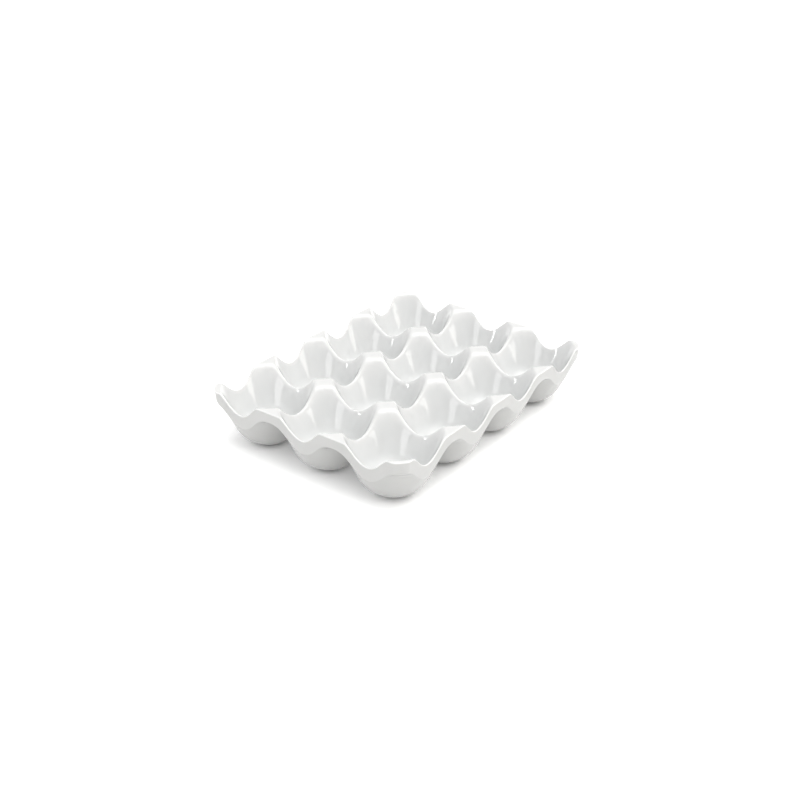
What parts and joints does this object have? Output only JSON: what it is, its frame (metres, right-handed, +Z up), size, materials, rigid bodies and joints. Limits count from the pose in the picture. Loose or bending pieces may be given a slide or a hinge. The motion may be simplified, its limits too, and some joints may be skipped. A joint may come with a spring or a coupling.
{
  "type": "egg tray",
  "caption": "Rigid glazed tray with a square grid of round-bottomed open cups that hold eggs apart, joined by dipped ridges and flat-topped peaks.",
  "frame": {"origin": "centre of the underside, on the plane the feet stand on", "axes": "+Z up out of the cups; +X along the length, four cups; +Y across the width, three cups"},
  "size_m": [0.2112, 0.1592, 0.0407],
  "materials": {
    "white_glaze": "glossy white glaze over white ceramic, bare and matt only where each foot touches the surface"
  },
  "bodies": {
    "root": {"cup_row1_col1": "white_glaze", "cup_row1_col2": "white_glaze", "cup_row1_col3": "white_glaze", "cup_row1_col4": "white_glaze", "cup_row2_col1": "white_glaze", "cup_row2_col2": "white_glaze", "cup_row2_col3": "white_glaze", "cup_row2_col4": "white_glaze", "cup_row3_col1": "white_glaze", "cup_row3_col2": "white_glaze", "cup_row3_col3": "white_glaze", "cup_row3_col4": "white_glaze"}
  },
  "joints": []
}
